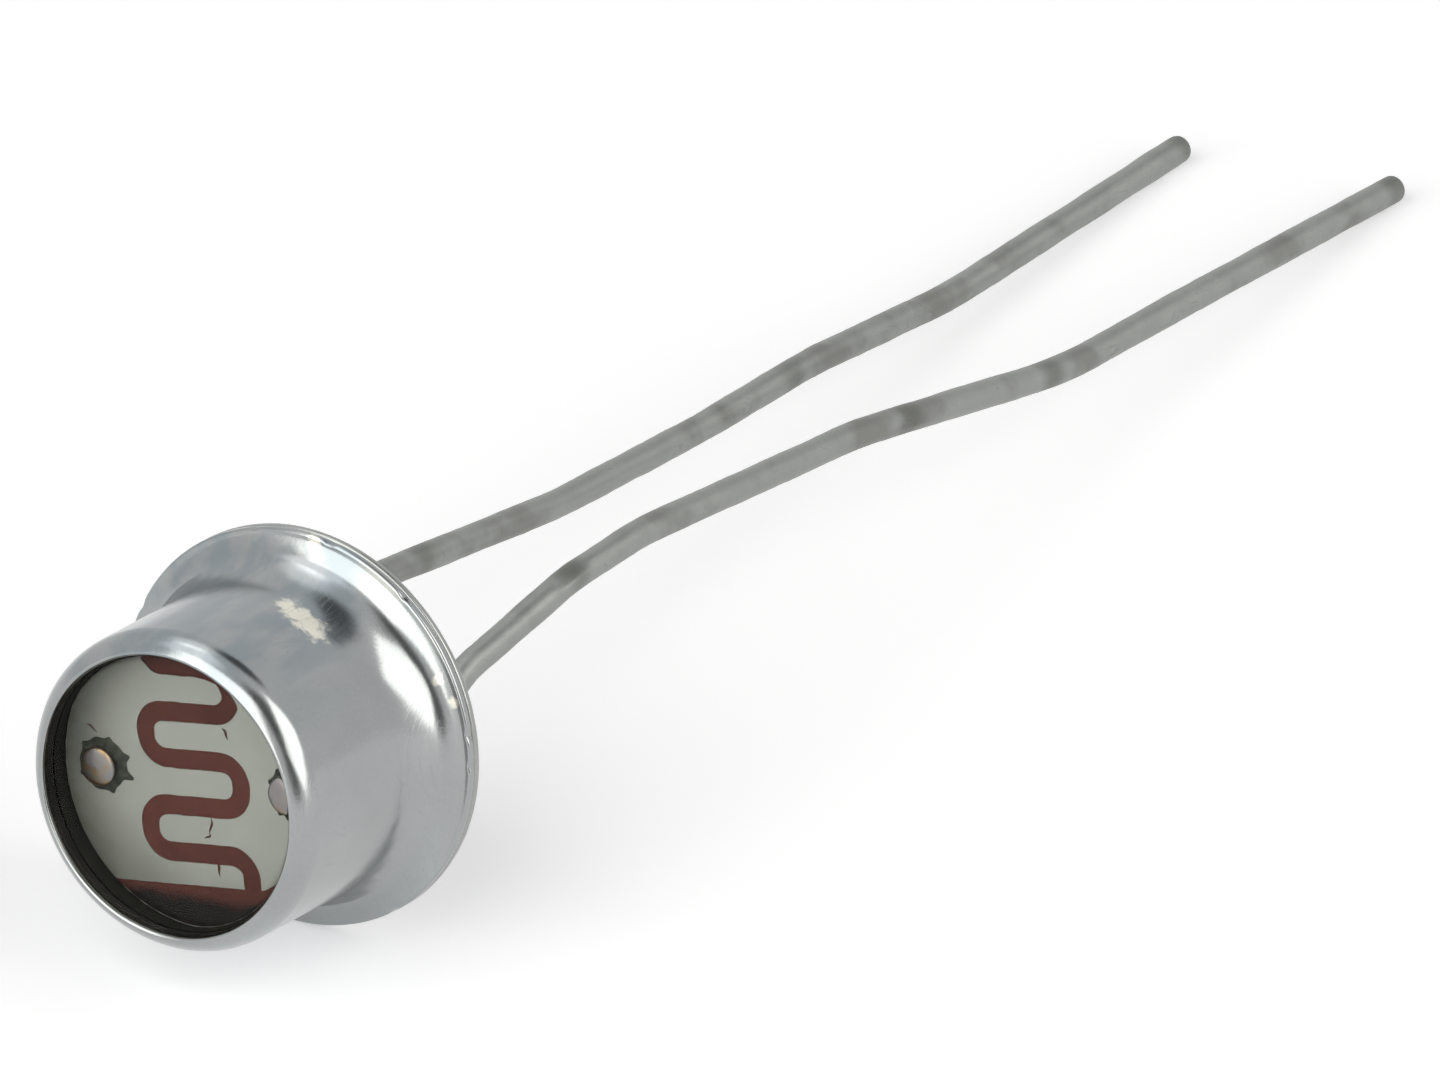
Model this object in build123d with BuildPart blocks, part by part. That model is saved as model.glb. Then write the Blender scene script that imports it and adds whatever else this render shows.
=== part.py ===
from build123d import *
import os
from math import cos, radians, sin

os.makedirs("parts", exist_ok=True)

# A photoresistor in a small round metal can with a glass window, lying where it was put down.
# It rests on the lowest edge of its flange and on the tips of its two bent leads.
# Lengths are millimetres. X runs from the window to the lead tips, Z is up and the floor is Z = 0.

# Can and its window
flange_diameter = 5.6
flange_rim = 0.54
header_flange = 0.12
cap_flange = 0.12
can_wall = 0.15
can_height = 3.46
shoulder_radius = 0.46
roof_bevel = 0.18
base_radius = 0.4
sheet_edge = 0.04
window_rim = 0.28
window_lip = 0.05
glass_thickness = 0.5

# Header
eyelet_wall = 0.16
eyelet_gap = 0.05
eyelet_bend = 0.12

# Leads
lead_diameter = 0.4
pin_inset = 0.38
pin_shift = 0.08
pin_rise = 0.03
pin_exit = 0.6
pin_stand = 0.1
nail_head_diameter = 0.5
nail_head_thickness = 0.08
nail_head_edge = 0.05
lead_tip_edge = 0.08
lead_bend_radius = 2.5

# Light-sensitive element
element_depth = 0.98
substrate_thickness = 0.75
substrate_gap = 0.03
cement_thickness = 0.23
cement_inset = 0.1
hole_clearance = 0.03
film_thickness = 0.02
film_margin = 0.02
bond_diameter = 0.76
bond_thickness = 0.05

# Pattern of the electrodes, where a length is its ratio to the film's radius
track_width_ratio = 0.136
track_pitch_ratio = 0.33
track_turn_ratio = 0.146
track_left_ratio = -0.34
track_low_left_ratio = -0.39
track_right_ratio = 0.355
metal_top_ratio = 0.755
metal_bottom_ratio = -0.72
bare_end_ratio = -0.29
bare_corner_ratio = 0.15
disc_edge_ratio = 1.05
pattern_drop_ratio = 0.029
pattern_turn = 3.5

# How the can leans on its flange, and how far it is turned about its own axis
tilt = radians(6.2)
roll = radians(8.2)

# Where each lead bends on its way to the floor, as distance from the flange, side and height
left_bends = [
    (4.70, 1.58, 2.67),
    (8.83, 1.67, 1.83),
    (12.50, 1.75, 1.37),
    (15.33, 1.82, 1.13),
    (18.97, 1.90, 0.55),
]
right_bends = [
    (1.97, -1.46, 3.27),
    (4.46, -1.43, 3.51),
    (6.27, -1.40, 3.43),
    (11.80, -1.33, 2.51),
    (16.97, -1.25, 1.18),
    (20.03, -1.21, 0.86),
]
left_tip = (25.12, 2.03)
right_tip = (25.73, -1.13)

# Sizes that follow from the ones above
flange_radius = flange_diameter / 2
flange_top = header_flange + cap_flange
can_radius = flange_radius - flange_rim
bore_radius = can_radius - can_wall
window_radius = can_radius - window_rim
roof = can_height - can_wall
glass_bottom = roof - glass_thickness
element_face = can_height - element_depth
metal_face = element_face + film_thickness
film_top = metal_face + film_thickness
substrate_bottom = element_face - substrate_thickness
substrate_radius = bore_radius - substrate_gap
film_radius = substrate_radius - film_margin
eyelet_height = substrate_bottom - cement_thickness
eyelet_radius = bore_radius - eyelet_gap
eyelet_bore = eyelet_radius - eyelet_wall
lead_radius = lead_diameter / 2
hole_radius = lead_radius + hole_clearance
left_pin = (pin_shift - eyelet_bore + pin_inset, pin_rise)
right_pin = (pin_shift + eyelet_bore - pin_inset, pin_rise)
pin_top = film_top + pin_stand

# The can's own plane lies in the back face of its flange, with X through the pins and Z out of the window
seat = Plane(
    origin=(flange_radius * sin(tilt), 0, flange_radius * cos(tilt)),
    x_dir=(sin(roll) * sin(tilt), -cos(roll), sin(roll) * cos(tilt)),
    z_dir=(-cos(tilt), 0, sin(tilt)),
)
can_axis = Axis(seat.origin, seat.z_dir)
section = Plane(origin=seat.origin, x_dir=seat.x_dir, z_dir=-seat.y_dir)

# Drawn metal cap, open at the window
with BuildPart() as window_cap:
    with BuildSketch(section) as cap_section:
        with BuildLine():
            FilletPolyline(
                (0, roof),
                (bore_radius - roof_bevel, roof),
                (bore_radius, roof - roof_bevel),
                (bore_radius, header_flange),
                (flange_radius, header_flange),
                (flange_radius, flange_top),
                (can_radius, flange_top),
                (can_radius, can_height),
                (0, can_height),
                radius=[0, 0, 0, 0, 0, 0, base_radius, shoulder_radius, 0],
                close=True,
            )
        make_face()
        Rectangle(2 * window_radius, 2 * can_height, mode=Mode.SUBTRACT)
        chamfer(cap_section.vertices().group_by(Axis.X)[0], window_lip)
        chamfer(cap_section.vertices().group_by(Axis.X)[-1], sheet_edge)
    revolve(axis=can_axis)

# Glass window, fused into the cap
with BuildPart() as window_glass:
    with BuildSketch(section):
        with BuildLine():
            Polyline(
                (0, glass_bottom),
                (bore_radius, glass_bottom),
                (bore_radius, roof - roof_bevel),
                (bore_radius - roof_bevel, roof),
                (0, roof),
                close=True,
            )
        make_face()
    revolve(axis=can_axis)

# Metal eyelet with the flange that the cap is welded to
with BuildPart() as header_eyelet:
    with BuildSketch(section) as eyelet_section:
        with BuildLine():
            Polyline(
                (eyelet_bore, 0),
                (flange_radius, 0),
                (flange_radius, header_flange),
                (eyelet_radius, header_flange),
                (eyelet_radius, eyelet_height),
                (eyelet_bore, eyelet_height),
                close=True,
            )
        make_face()
        chamfer(eyelet_section.vertices().group_by(Axis.X)[0].sort_by(Axis.Y)[0], eyelet_bend)
        chamfer(eyelet_section.vertices().group_by(Axis.X)[-1], sheet_edge)
    revolve(axis=can_axis)

# Glass that fills the eyelet and insulates the leads
with BuildPart() as header_glass:
    with BuildSketch(seat.offset(eyelet_bend)):
        Circle(eyelet_bore)
        with Locations(left_pin, right_pin):
            Circle(lead_radius, mode=Mode.SUBTRACT)
    extrude(amount=eyelet_height - eyelet_bend)

# Left lead, from its nail head inside the can to its tip on the floor
with BuildPart() as lead_left:
    with BuildLine():
        left_wire = FilletPolyline(
            seat.from_local_coords((*left_pin, pin_top)),
            seat.from_local_coords((*left_pin, -pin_exit)),
            *left_bends,
            (*left_tip, lead_radius),
            radius=lead_bend_radius,
        )
    with BuildSketch(Plane(origin=left_wire @ 0, z_dir=left_wire % 0)):
        Circle(lead_radius)
    sweep()
    chamfer(lead_left.faces().sort_by(Axis.X)[-1].edges(), lead_tip_edge)
    with BuildSketch(seat.offset(pin_top)):
        with Locations(left_pin):
            Circle(nail_head_diameter / 2)
    extrude(amount=nail_head_thickness)
    chamfer(lead_left.edges().sort_by(can_axis)[-1], nail_head_edge)

# Right lead
with BuildPart() as lead_right:
    with BuildLine():
        right_wire = FilletPolyline(
            seat.from_local_coords((*right_pin, pin_top)),
            seat.from_local_coords((*right_pin, -pin_exit)),
            *right_bends,
            (*right_tip, lead_radius),
            radius=lead_bend_radius,
        )
    with BuildSketch(Plane(origin=right_wire @ 0, z_dir=right_wire % 0)):
        Circle(lead_radius)
    sweep()
    chamfer(lead_right.faces().sort_by(Axis.X)[-1].edges(), lead_tip_edge)
    with BuildSketch(seat.offset(pin_top)):
        with Locations(right_pin):
            Circle(nail_head_diameter / 2)
    extrude(amount=nail_head_thickness)
    chamfer(lead_right.edges().sort_by(can_axis)[-1], nail_head_edge)

# Cement that holds the substrate on the header
with BuildPart() as substrate_cement:
    with BuildSketch(seat.offset(eyelet_height)):
        Circle(substrate_radius - cement_inset)
        with Locations(left_pin, right_pin):
            Circle(hole_radius, mode=Mode.SUBTRACT)
    extrude(amount=substrate_bottom - eyelet_height)

# Ceramic disc that carries the films, with a hole for each lead
with BuildPart() as ceramic_substrate:
    with BuildSketch(seat.offset(substrate_bottom)):
        Circle(substrate_radius)
        with Locations(left_pin, right_pin):
            Circle(hole_radius, mode=Mode.SUBTRACT)
    extrude(amount=substrate_thickness)

# Middle line of the serpentine between the two electrodes
bends = [
    (track_right_ratio, metal_top_ratio + track_width_ratio),
    (track_right_ratio, 1.5 * track_pitch_ratio),
    (track_left_ratio, 1.5 * track_pitch_ratio),
    (track_left_ratio, 0.5 * track_pitch_ratio),
    (track_right_ratio, 0.5 * track_pitch_ratio),
    (track_right_ratio, -0.5 * track_pitch_ratio),
    (track_low_left_ratio, -0.5 * track_pitch_ratio),
    (track_low_left_ratio, -1.5 * track_pitch_ratio),
    (track_right_ratio, -1.5 * track_pitch_ratio),
    (track_right_ratio, metal_bottom_ratio - track_width_ratio),
]

# Edge of the metal film, which leaves the disc bare below and at the upper right
corners = [
    (-disc_edge_ratio, metal_bottom_ratio),
    (disc_edge_ratio, metal_bottom_ratio),
    (disc_edge_ratio, metal_top_ratio),
    (bare_end_ratio, metal_top_ratio),
    (bare_end_ratio, disc_edge_ratio),
    (-disc_edge_ratio, disc_edge_ratio),
]

# Both are printed a little below the pins and slightly turned
drop = Vector(0, pattern_drop_ratio)
snake = [film_radius * (Vector(bend).rotate(Axis.Z, pattern_turn) - drop) for bend in bends]
metal = [film_radius * (Vector(corner).rotate(Axis.Z, pattern_turn) - drop) for corner in corners]
snake_radius = film_radius * track_turn_ratio
snake_width = film_radius * track_width_ratio
metal_radii = [0, 0, 0, film_radius * bare_corner_ratio, 0, 0]

# Photoconductive film over the whole face, which shows between the electrodes and beyond them
with BuildPart() as photoconductor:
    with BuildSketch(seat.offset(element_face)):
        Circle(film_radius)
        with Locations(left_pin, right_pin):
            Circle(hole_radius, mode=Mode.SUBTRACT)
    extrude(amount=film_thickness)

# Left electrode, on the film and on the left of the serpentine, with three fingers
with BuildPart() as electrode_left:
    with BuildSketch(seat.offset(metal_face)):
        with BuildLine():
            FilletPolyline(*snake, radius=snake_radius)
            Polyline(snake[-1], (-film_radius, snake[-1].Y), (-film_radius, snake[0].Y), snake[0])
        make_face()
        with BuildLine():
            FilletPolyline(*metal, radius=metal_radii, close=True)
        make_face(mode=Mode.INTERSECT)
        Circle(film_radius, mode=Mode.INTERSECT)
        with BuildLine():
            FilletPolyline(*snake, radius=snake_radius)
        trace(line_width=snake_width, mode=Mode.SUBTRACT)
        with Locations(left_pin):
            Circle(hole_radius, mode=Mode.SUBTRACT)
    extrude(amount=film_thickness)

# Right electrode, with two fingers
with BuildPart() as electrode_right:
    with BuildSketch(seat.offset(metal_face)):
        with BuildLine():
            FilletPolyline(*snake, radius=snake_radius)
            Polyline(snake[-1], (film_radius, snake[-1].Y), (film_radius, snake[0].Y), snake[0])
        make_face()
        with BuildLine():
            FilletPolyline(*metal, radius=metal_radii, close=True)
        make_face(mode=Mode.INTERSECT)
        Circle(film_radius, mode=Mode.INTERSECT)
        with BuildLine():
            FilletPolyline(*snake, radius=snake_radius)
        trace(line_width=snake_width, mode=Mode.SUBTRACT)
        with Locations(right_pin):
            Circle(hole_radius, mode=Mode.SUBTRACT)
    extrude(amount=film_thickness)

# Conductive cement that joins each lead to its electrode
with BuildPart() as bond_left:
    with BuildSketch(seat.offset(film_top)):
        with Locations(left_pin):
            Circle(bond_diameter / 2)
            Circle(lead_radius, mode=Mode.SUBTRACT)
    extrude(amount=bond_thickness)

with BuildPart() as bond_right:
    with BuildSketch(seat.offset(film_top)):
        with Locations(right_pin):
            Circle(bond_diameter / 2)
            Circle(lead_radius, mode=Mode.SUBTRACT)
    extrude(amount=bond_thickness)

# Each piece is named, centred over the origin with the others and exported
pieces = {
    "window_cap": window_cap,
    "window_glass": window_glass,
    "header_eyelet": header_eyelet,
    "header_glass": header_glass,
    "lead_left": lead_left,
    "lead_right": lead_right,
    "substrate_cement": substrate_cement,
    "ceramic_substrate": ceramic_substrate,
    "photoconductor": photoconductor,
    "electrode_left": electrode_left,
    "electrode_right": electrode_right,
    "bond_left": bond_left,
    "bond_right": bond_right,
}
middle = Compound([piece.part for piece in pieces.values()]).bounding_box().center()
for name, piece in pieces.items():
    placed = Pos(-middle.X, -middle.Y, 0) * piece.part
    placed.label = name
    export_step(placed, f"parts/{name}.step")
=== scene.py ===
from math import atan2, ceil, cos, degrees, dist, exp, hypot, pi, radians, sin, sqrt, tan, tau

import bmesh
import bpy
from mathutils import Matrix, Quaternion, Vector, noise
from mathutils.geometry import delaunay_2d_cdt


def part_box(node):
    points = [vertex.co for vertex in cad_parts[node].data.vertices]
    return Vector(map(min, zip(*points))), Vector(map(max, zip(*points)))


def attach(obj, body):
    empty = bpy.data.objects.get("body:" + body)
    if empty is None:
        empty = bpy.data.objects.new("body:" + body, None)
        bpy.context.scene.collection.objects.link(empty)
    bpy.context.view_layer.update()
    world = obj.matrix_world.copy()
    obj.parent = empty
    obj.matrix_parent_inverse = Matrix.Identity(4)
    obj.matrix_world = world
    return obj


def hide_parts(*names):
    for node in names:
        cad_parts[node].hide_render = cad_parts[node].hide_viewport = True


# A photoresistor in a small round metal can with a glass window, lying on its flange and its two bent leads.
# The pieces come in the order in which it is put together: header, leads, element, cap, and then the studio.
# Pieces of the can are drawn in the can's own frame, in millimetres, and laid in place as plain meshes.
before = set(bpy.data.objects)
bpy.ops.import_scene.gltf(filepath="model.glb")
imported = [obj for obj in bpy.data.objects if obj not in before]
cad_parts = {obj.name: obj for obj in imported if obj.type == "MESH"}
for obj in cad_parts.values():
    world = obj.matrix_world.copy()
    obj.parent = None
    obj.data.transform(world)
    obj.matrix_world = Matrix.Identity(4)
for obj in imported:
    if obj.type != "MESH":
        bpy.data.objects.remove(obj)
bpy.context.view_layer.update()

# Header eyelet
# A cup pressed from thin steel sheet and nickel plated. Its rim is the back half of the flange, and its
# short tube holds the sealing glass. The cap is welded to the rim, front to back, all the way round.
mm = 0.001
flange_radius = 2.8
header_flange = 0.12
eyelet_radius = 2.06
eyelet_bore = 1.90
eyelet_height = 1.5
eyelet_bend = 0.12
sheet_edge = 0.04
flange_edge = flange_radius - sheet_edge
run_step = 0.12
run_end = 0.012
tilt = radians(6.2)
roll = radians(8.2)

# The can's frame: X through both pins, Z out of the window, and the origin in the flange's back face
can_out = Vector((-cos(tilt), 0, sin(tilt)))
can_side = Vector((sin(roll) * sin(tilt), -cos(roll), sin(roll) * cos(tilt)))
can_up = can_out.cross(can_side)
back_face = flange_edge * mm * sin(tilt)
seat = Vector((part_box("header_eyelet")[1][0] - back_face, 0, flange_radius * mm * cos(tilt)))
can_turn = Matrix((can_side, can_up, can_out)).transposed()
can_place = Matrix.Translation(seat) @ can_turn.to_4x4() @ Matrix.Scale(mm, 4)


def arc(centre, radius, start, end, steps=8):
    """Points of an arc in a section, with its angles in degrees from outwards towards the window."""
    angles = [radians(start + (end - start) * i / steps) for i in range(steps + 1)]
    return [(centre[0] + radius * cos(a), centre[1] + radius * sin(a)) for a in angles]


def divided(outline):
    """A closed outline with its straight runs divided, and a point close to both ends of each."""
    points = []
    for a, b in zip(outline, outline[1:] + outline[:1]):
        points.append(a)
        length = dist(a, b)
        if length > run_end * 4:
            count = ceil(length / run_step)
            stops = [run_end / length, *(i / count for i in range(1, count)), 1 - run_end / length]
            points += [(a[0] + (b[0] - a[0]) * s, a[1] + (b[1] - a[1]) * s) for s in sorted(stops)]
    return points


def skin(shape, rings, closed=True):
    """Faces from each ring to the next, and from the last to the first when closed."""
    for ring, following in zip(rings, rings[1:] + rings[:1] if closed else rings[1:]):
        for i in range(len(ring)):
            j = (i + 1) % len(ring)
            shape.faces.new((ring[i], ring[j], following[j], following[i]))


def lathe(outline, sides=288, closed=True, ripple=None):
    """A turned mesh from an outline of radius and height. ripple moves each point along its radius."""
    turned = bmesh.new()
    rings = []
    for radius, height in outline:
        ring = []
        for i in range(sides):
            a = tau * i / sides
            out = radius + (ripple(radius, height, a) if ripple else 0)
            ring.append(turned.verts.new((out * cos(a), out * sin(a), height)))
        rings.append(ring)
    skin(turned, rings, closed)
    bmesh.ops.remove_doubles(turned, verts=turned.verts, dist=1e-5)
    bmesh.ops.recalc_face_normals(turned, faces=turned.faces)
    return turned


def linked(name, data):
    """An object for a mesh, lamp or camera, linked into the scene."""
    made = bpy.data.objects.new(name, data)
    bpy.context.collection.objects.link(made)
    return made


def plain_mesh(name, shape, place=can_place):
    """The finished mesh of a shape, with its place in the mesh."""
    mesh = bpy.data.meshes.new(name)
    shape.to_mesh(mesh)
    shape.free()
    mesh.transform(place)
    return mesh


def laid_in_place(name, shape, *materials, place=can_place):
    """An object for a shape of the can, in its place and with its materials."""
    mesh = plain_mesh(name, shape, place)
    mesh.shade_smooth()
    for material in materials:
        mesh.materials.append(material)
    return linked(name, mesh)


def add(tree, kind, inputs=None, **settings):
    """A node with its settings, whose inputs take a value or another node's output."""
    made = tree.nodes.new(kind)
    for key, value in settings.items():
        setattr(made, key, value)
    for key, value in (inputs or {}).items():
        if isinstance(value, bpy.types.NodeSocket):
            tree.links.new(value, made.inputs[key])
        else:
            made.inputs[key].default_value = value
    return made


def node(tree, kind, inputs=None, **settings):
    """The first output of a new node."""
    return add(tree, kind, inputs, **settings).outputs[0]


def math_of(operation, first, second=0.0, clamp=False):
    """A sum in the tree that its values come from, one of which may be a plain number."""
    tree = (first if isinstance(first, bpy.types.NodeSocket) else second).id_data
    return node(tree, "ShaderNodeMath", {0: first, 1: second}, operation=operation, use_clamp=clamp)


def product(first, second):
    return math_of("MULTIPLY", first, second)


def less(first, second):
    return math_of("SUBTRACT", first, second)


def larger(first, second):
    return math_of("MAXIMUM", first, second)


def noise_of(place, scale, detail=2.0):
    """A cloudy noise between 0 and 1, finer with a larger scale."""
    inputs = {"Vector": place, "Scale": scale, "Detail": detail}
    return add(place.id_data, "ShaderNodeTexNoise", inputs).outputs["Fac"]


def spread(value, low, high):
    """A value between 0 and 1 spread over the range from low to high."""
    inputs = {"Value": value, "To Min": low, "To Max": high}
    return node(value.id_data, "ShaderNodeMapRange", inputs)


def between(value, start, end):
    """0 below start and 1 above end, with a soft step."""
    inputs = {"Value": value, "From Min": start, "From Max": end}
    return node(value.id_data, "ShaderNodeMapRange", inputs, interpolation_type="SMOOTHSTEP")


def faded(value, start, end):
    """1 below start and 0 above end, with a soft step."""
    return less(1.0, between(value, start, end))


def tinted(factor, first, second):
    """A mix of two colours, each of them another node's output or its red, green and blue."""
    first, second = (c if isinstance(c, bpy.types.NodeSocket) else (*c, 1) for c in (first, second))
    inputs = {0: factor, 6: first, 7: second}
    return add(factor.id_data, "ShaderNodeMix", inputs, data_type="RGBA").outputs[2]


def mixed(factor, first, second):
    inputs = {0: factor, 2: first, 3: second}
    return node(factor.id_data, "ShaderNodeMix", inputs, data_type="FLOAT")


def shaded(tone, color):
    """A colour darkened or lightened by a tone around 1."""
    inputs = {0: 1.0, 6: tone, 7: color}
    return add(tone.id_data, "ShaderNodeMix", inputs, data_type="RGBA", blend_type="MULTIPLY").outputs[2]


def can_point(tree):
    """Object coordinates turned into the can's frame, in millimetres."""
    point = add(tree, "ShaderNodeTexCoord").outputs["Object"]
    inputs = {"Vector": point, "Location": seat, "Rotation": can_turn.to_euler(), "Scale": (mm, mm, mm)}
    return node(tree, "ShaderNodeMapping", inputs, vector_type="TEXTURE")


def along_axis(place, axis):
    return add(place.id_data, "ShaderNodeSeparateXYZ", {0: place}).outputs[axis]


def new_material(name, **plain):
    """A material's shader, with the values that are the same all over, and the place on the can."""
    material = bpy.data.materials.new(name)
    material.use_nodes = True
    shader = material.node_tree.nodes["Principled BSDF"]
    for key, value in plain.items():
        shader.inputs[key.replace("_", " ")].default_value = value
    return material, shader, can_point(material.node_tree)


def link_inputs(shader, **inputs):
    """Link inputs of the shader, with their names in underscores, to other nodes' outputs."""
    for key, value in inputs.items():
        shader.id_data.links.new(value, shader.inputs[key.replace("_", " ")])


def add_relief(shader, height, distance, strength=1.0):
    """Grain and marks too fine for the mesh, as a bump whose distance is in metres."""
    inputs = {"Height": height, "Distance": distance, "Strength": strength}
    link_inputs(shader, Normal=node(shader.id_data, "ShaderNodeBump", inputs))


def add_sockets(tree, way, **kinds):
    """Named sockets of each kind at a tree's start or end, with way INPUT or OUTPUT."""
    for kind, labels in kinds.items():
        for label in labels:
            tree.interface.new_socket(label, in_out=way, socket_type="NodeSocket" + kind)


# Handling wear that every metal surface has: smudges, fine mottling and hairline scratches
tree = handling_wear = bpy.data.node_groups.new("handling_wear", "ShaderNodeTree")
add_sockets(tree, "INPUT", Vector=["Point"], Float=["Smudge size", "Grain size", "Scratches"])
add_sockets(tree, "OUTPUT", Float=["Tone", "Dull", "Height"])
wear_in, wear_out = add(tree, "NodeGroupInput").outputs, add(tree, "NodeGroupOutput").inputs
smudge = noise_of(wear_in["Point"], math_of("DIVIDE", 1.0, wear_in["Smudge size"]), 4.0)
grain = noise_of(wear_in["Point"], math_of("DIVIDE", 1.0, wear_in["Grain size"]))
# Hairlines run where a drawn-out noise crosses its middle value, in two directions
hairlines = 0.0
for turn, stretch in (((0.3, 0.5, 0.9), (9.0, 0.5, 0.7)), ((1.1, 0.2, 2.3), (11.0, 0.6, 0.4))):
    inputs = {"Vector": wear_in["Point"], "Rotation": turn, "Scale": stretch}
    streaks = noise_of(node(tree, "ShaderNodeMapping", inputs), 1.3, 1.0)
    off_line = math_of("ABSOLUTE", less(streaks, 0.5))
    hairlines = larger(hairlines, faded(off_line, 0.002, 0.007))
worn = product(hairlines, between(smudge, 0.45, 0.65))
scratch = product(worn, wear_in["Scratches"])
tone = math_of("ADD", spread(smudge, 0.82, 1.12), spread(grain, -0.06, 0.06))
tree.links.new(less(tone, product(scratch, 0.12)), wear_out["Tone"])
dull = math_of("ADD", spread(smudge, 0.0, 0.7), product(grain, 0.3))
tree.links.new(math_of("ADD", dull, scratch, clamp=True), wear_out["Dull"])
rise = product(grain, 0.35)
tree.links.new(less(rise, product(scratch, 0.3)), wear_out["Height"])
grain_relief = 2e-6


def handled(place, wear):
    """The handling wear at each place, in the sizes that one metal has."""
    return add(place.id_data, "ShaderNodeGroup", {"Point": place, **wear}, node_tree=handling_wear).outputs


def metal(name, color, roughness, wear, bump=1.0, patches=None):
    """A worn metal. roughness is its range, wear the group's values, and patches may change its colour."""
    material, shader, place = new_material(name, Metallic=1.0)
    marks = handled(place, wear)
    surface = shaded(marks["Tone"], (*color, 1))
    rough = spread(marks["Dull"], *roughness)
    if patches:
        surface, rough = patches(place, surface, rough)
    link_inputs(shader, Base_Color=surface, Roughness=rough)
    add_relief(shader, marks["Height"], bump * grain_relief)
    return material


header_wear = {"Smudge size": 0.9, "Grain size": 0.05, "Scratches": 0.7}
header_plating = metal("header_plating", (0.35, 0.36, 0.35), (0.16, 0.34), header_wear)
eyelet_outline = divided(
    [(eyelet_bore + eyelet_bend, 0)]
    + arc((flange_edge, sheet_edge), sheet_edge, -90, 0, 5)
    + arc((flange_edge, header_flange - sheet_edge), sheet_edge, 0, 90, 5)
    + [(eyelet_radius, header_flange)]
    + arc((eyelet_radius - sheet_edge, eyelet_height - sheet_edge), sheet_edge, 0, 90, 5)
    + arc((eyelet_bore + sheet_edge, eyelet_height - sheet_edge), sheet_edge, 90, 180, 5)
    + arc((eyelet_bore + eyelet_bend, eyelet_bend), eyelet_bend, 180, 270)[:-1]
)


def sheet_ripple(radius, height, angle):
    """The slight unevenness of pressed sheet, in millimetres."""
    around = Vector((radius * cos(angle), radius * sin(angle), height))
    return 0.006 * noise.noise(around * 0.9) + 0.0015 * noise.noise(around * 4)


eyelet = laid_in_place("header_eyelet_dressed", lathe(eyelet_outline, ripple=sheet_ripple), header_plating)
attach(eyelet, "root")
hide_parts("header_eyelet")

# Sealing glass
# Glass melted into the eyelet round both leads, which it holds and insulates. It is dark and glossy, and
# it has crept up the metal in small menisci, with a few seeds, which are bubbles, just under the surface.
pin_offset = 1.52
pin_shift = 0.08
pin_rise = 0.07
lead_radius = 0.2
fused_gap = 0.003
glass_back = 0.17
creep_height = 0.05
creep_reach = 0.09
seed_count = 60
seed_flatness = 0.35
straight_back = 0.98
sharp_corner = radians(40)
# Depths from the glass's edges, and radii further in, that get points of their own
creep_rings = (0.03, 0.07, 0.12, 0.2, 0.32)
inner_rings = (0.3, 0.6, 0.9, 1.2)


def ring_points(centre, radius, count):
    angles = [tau * i / count for i in range(count)]
    return [Vector((centre[0] + radius * cos(a), centre[1] + radius * sin(a))) for a in angles]


def plate(loops, inside, low, high, free=()):
    """A plate cut along closed loops, kept where inside is true, between the heights low and high."""
    points = [p for loop in loops for p in loop]
    edges = []
    for loop in loops:
        first = len(edges)
        edges += [(first + i, first + (i + 1) % len(loop)) for i in range(len(loop))]
    cut = delaunay_2d_cdt(points + list(free), edges, [], 0, 1e-6)
    places, triangles = cut[0], cut[2]
    flat = bmesh.new()
    lower, upper = ([flat.verts.new((*p, level(p))) for p in places] for level in (low, high))
    for t in triangles:
        if inside(sum((places[i] for i in t), Vector((0, 0))) / 3):
            flat.faces.new([upper[i] for i in t])
            flat.faces.new([lower[i] for i in reversed(t)])
    tops = {v: i for i, v in enumerate(upper)}
    for e in [e for e in flat.edges if e.is_boundary and e.verts[0] in tops]:
        a, b = (tops[v] for v in e.verts)
        flat.faces.new((lower[a], lower[b], upper[b], upper[a]))
    bmesh.ops.delete(flat, geom=[v for v in flat.verts if not v.link_faces], context="VERTS")
    bmesh.ops.recalc_face_normals(flat, faces=flat.faces)
    for e in flat.edges:
        e.smooth = e.calc_face_angle(0) < sharp_corner
    return flat


pins = [Vector((pin_shift - pin_offset, pin_rise)), Vector((pin_shift + pin_offset, pin_rise))]
seal_radius = eyelet_bore - fused_gap
collar = lead_radius + fused_gap
seal_free = []
for step in creep_rings:
    seal_free += ring_points((0, 0), seal_radius - step, 160)
    seal_free += [p for pin in pins for p in ring_points(pin, collar + step, 56)]
for radius in inner_rings:
    seal_free += ring_points((0, 0), radius, round(radius * 60))


def disc(radius, hole):
    """The loops of a disc with a hole at each pin, and a test for points inside it."""
    loops = [ring_points((0, 0), radius, 192), *(ring_points(pin, hole, 64) for pin in pins)]
    return loops, lambda p: p.length < radius and all((p - pin).length > hole for pin in pins)


def seal_back(p):
    """The height of the glass's back, which creeps along the metal at its edges."""
    edge = min(seal_radius - p.length, *((p - pin).length - collar for pin in pins))
    return glass_back - creep_height * exp(-max(edge, 0) / creep_reach)


seal_loops, in_seal = disc(seal_radius, collar)
seal_free = [p for p in seal_free if in_seal(p)]
seal_shape = plate(seal_loops, in_seal, seal_back, lambda p: eyelet_height, seal_free)

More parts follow.
